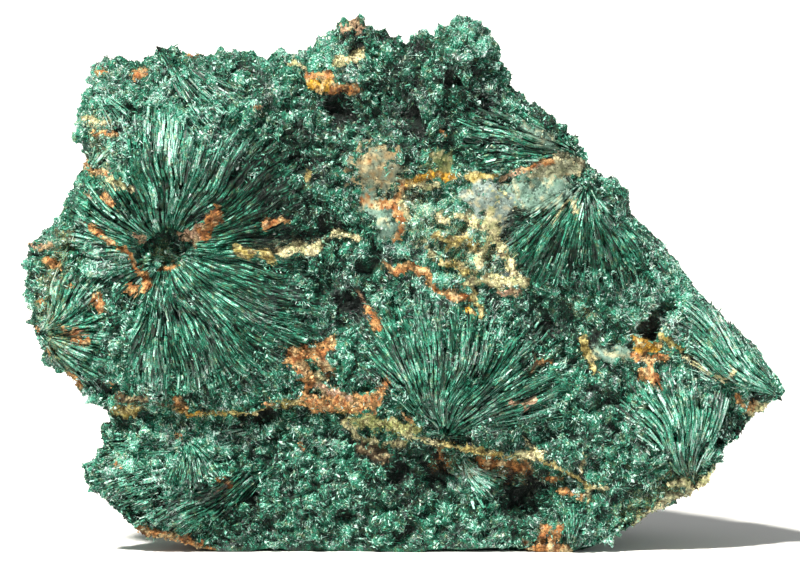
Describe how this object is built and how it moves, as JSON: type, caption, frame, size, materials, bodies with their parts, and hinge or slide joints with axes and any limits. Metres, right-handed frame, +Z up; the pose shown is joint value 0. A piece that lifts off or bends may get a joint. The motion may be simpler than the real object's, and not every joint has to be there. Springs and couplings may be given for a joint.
{
  "type": "fibrous malachite specimen",
  "caption": "Hand-sized lump of green fibrous malachite: radiating sprays of splintery crystals, ochre seams, and a flat broken foot to stand on.",
  "frame": {"origin": "on the resting surface, under the middle of the specimen's box", "axes": "+X along the long way of the specimen, +Y from the front face with the sprays to the back, +Z up"},
  "size_m": [0.1098, 0.0512, 0.077],
  "materials": {
    "malachite": "silky fibrous green with dull ochre crusts"
  },
  "bodies": {
    "root": {"malachite": "malachite"}
  },
  "joints": []
}
